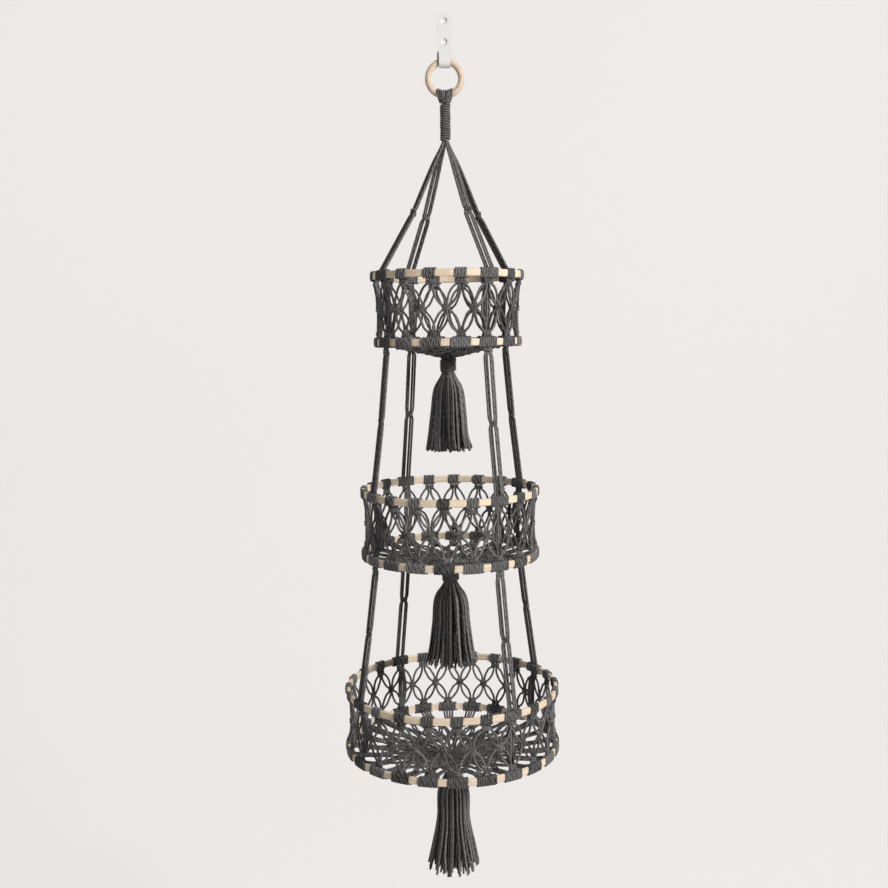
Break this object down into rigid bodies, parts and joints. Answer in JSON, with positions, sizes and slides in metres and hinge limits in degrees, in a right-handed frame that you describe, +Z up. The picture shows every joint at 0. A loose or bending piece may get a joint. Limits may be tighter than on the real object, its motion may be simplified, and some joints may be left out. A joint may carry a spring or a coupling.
{
  "type": "hanging fruit basket",
  "caption": "Tiered hanging fruit basket: knotted cord nets on flat wooden hoops, each with a tassel, under a neck and wooden ring on a screwed wall hook.",
  "frame": {"origin": "on the wall face, midway between the hook's two screw holes", "axes": "+Z up, -Y out of the wall towards the room, +X to the right as seen from the room"},
  "size_m": [0.316, 0.316, 1.2324],
  "materials": {
    "painted_steel": "satin",
    "turned_wood": "matte",
    "bent_wood": "matte",
    "knotted_cord": "matte",
    "tassel_cord": "matte"
  },
  "bodies": {
    "hook": {"wall_hook": "painted_steel"},
    "ring": {"wood_ring": "turned_wood"},
    "neck": {"ring_hitch": "knotted_cord", "neck_wrap": "knotted_cord"},
    "hanger": {"upper_leg_front_right": "knotted_cord", "upper_leg_back_right": "knotted_cord", "upper_leg_back_left": "knotted_cord", "upper_leg_front_left": "knotted_cord"},
    "top_basket": {"top_basket_top_hoop": "bent_wood", "top_basket_bottom_hoop": "bent_wood", "top_basket_top_wraps": "knotted_cord", "top_basket_bottom_wraps": "knotted_cord", "top_basket_side_net": "knotted_cord", "top_basket_side_strands": "knotted_cord", "top_basket_floor_net": "knotted_cord", "top_basket_gather": "knotted_cord", "top_tassel_wrap": "knotted_cord", "middle_leg_front_right": "knotted_cord", "middle_leg_back_right": "knotted_cord", "middle_leg_back_left": "knotted_cord", "middle_leg_front_left": "knotted_cord"},
    "middle_basket": {"middle_basket_top_hoop": "bent_wood", "middle_basket_bottom_hoop": "bent_wood", "middle_basket_top_wraps": "knotted_cord", "middle_basket_bottom_wraps": "knotted_cord", "middle_basket_side_net": "knotted_cord", "middle_basket_side_strands": "knotted_cord", "middle_basket_floor_net": "knotted_cord", "middle_basket_gather": "knotted_cord", "middle_tassel_wrap": "knotted_cord", "lower_leg_front_right": "knotted_cord", "lower_leg_back_right": "knotted_cord", "lower_leg_back_left": "knotted_cord", "lower_leg_front_left": "knotted_cord"},
    "lower_basket": {"lower_basket_top_hoop": "bent_wood", "lower_basket_bottom_hoop": "bent_wood", "lower_basket_top_wraps": "knotted_cord", "lower_basket_bottom_wraps": "knotted_cord", "lower_basket_side_net": "knotted_cord", "lower_basket_side_strands": "knotted_cord", "lower_basket_floor_net": "knotted_cord", "lower_basket_gather": "knotted_cord", "lower_tassel_wrap": "knotted_cord"},
    "top_skirt": {"top_tassel": "tassel_cord"},
    "middle_skirt": {"middle_tassel": "tassel_cord"},
    "lower_skirt": {"lower_tassel": "tassel_cord"}
  },
  "joints": [
    {"name": "ring_swing", "type": "hinge", "parent": "hook", "child": "ring", "pos_m": [0, -0.008, -0.0653], "axis": [0, 1, 0], "range_deg": [-25, 25]},
    {"name": "neck_tilt", "type": "hinge", "parent": "ring", "child": "neck", "pos_m": [0, -0.008, -0.0883], "axis": [1, 0, 0], "range_deg": [-20, 10]},
    {"name": "basket_turn", "type": "hinge", "parent": "neck", "child": "hanger", "pos_m": [0, -0.008, -0.1506], "axis": [0, 0, 1], "range_deg": [-60, 60]},
    {"name": "top_basket_lift", "type": "slide", "parent": "hanger", "child": "top_basket", "axis": [0, 0, 1], "range_m": [0, 0.1], "deforming": ["upper_leg_front_right", "upper_leg_back_right", "upper_leg_back_left", "upper_leg_front_left"]},
    {"name": "middle_basket_lift", "type": "slide", "parent": "top_basket", "child": "middle_basket", "axis": [0, 0, 1], "range_m": [0, 0.12], "deforming": ["middle_leg_front_right", "middle_leg_back_right", "middle_leg_back_left", "middle_leg_front_left"]},
    {"name": "lower_basket_lift", "type": "slide", "parent": "middle_basket", "child": "lower_basket", "axis": [0, 0, 1], "range_m": [0, 0.08], "deforming": ["lower_leg_front_right", "lower_leg_back_right", "lower_leg_back_left", "lower_leg_front_left"]},
    {"name": "top_tassel_swing", "type": "hinge", "parent": "top_basket", "child": "top_skirt", "pos_m": [0, -0.008, -0.4911], "axis": [0, 1, 0], "range_deg": [-20, 20]},
    {"name": "middle_tassel_swing", "type": "hinge", "parent": "middle_basket", "child": "middle_skirt", "pos_m": [0, -0.008, -0.7971], "axis": [0, 1, 0], "range_deg": [-20, 20]},
    {"name": "lower_tassel_swing", "type": "hinge", "parent": "lower_basket", "child": "lower_skirt", "pos_m": [0, -0.008, -1.0787], "axis": [0, 1, 0], "range_deg": [-20, 20]}
  ]
}
